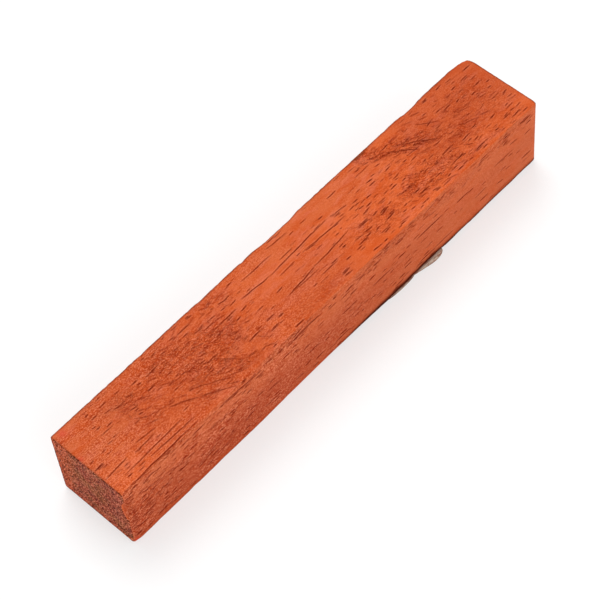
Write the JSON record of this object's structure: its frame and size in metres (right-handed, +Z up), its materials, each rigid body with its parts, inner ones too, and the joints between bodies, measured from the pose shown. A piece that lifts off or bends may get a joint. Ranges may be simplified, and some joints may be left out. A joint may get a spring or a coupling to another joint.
{
  "type": "wood block",
  "caption": "Square hardwood stick sawn to length as a turning blank, with open grain, worn arrises, knocked corners and a lifted splinter.",
  "frame": {"origin": "middle of the underside of the block, on the surface it lies on", "axes": "+X along the grain from the near end to the far end, +Y from the front side face to the back side face, +Z up"},
  "size_m": [0.126, 0.0216, 0.0199],
  "materials": {
    "heartwood": "sawn and sanded, unfinished, matt, with open pores"
  },
  "bodies": {
    "root": {"wood_block": "heartwood"}
  },
  "joints": []
}
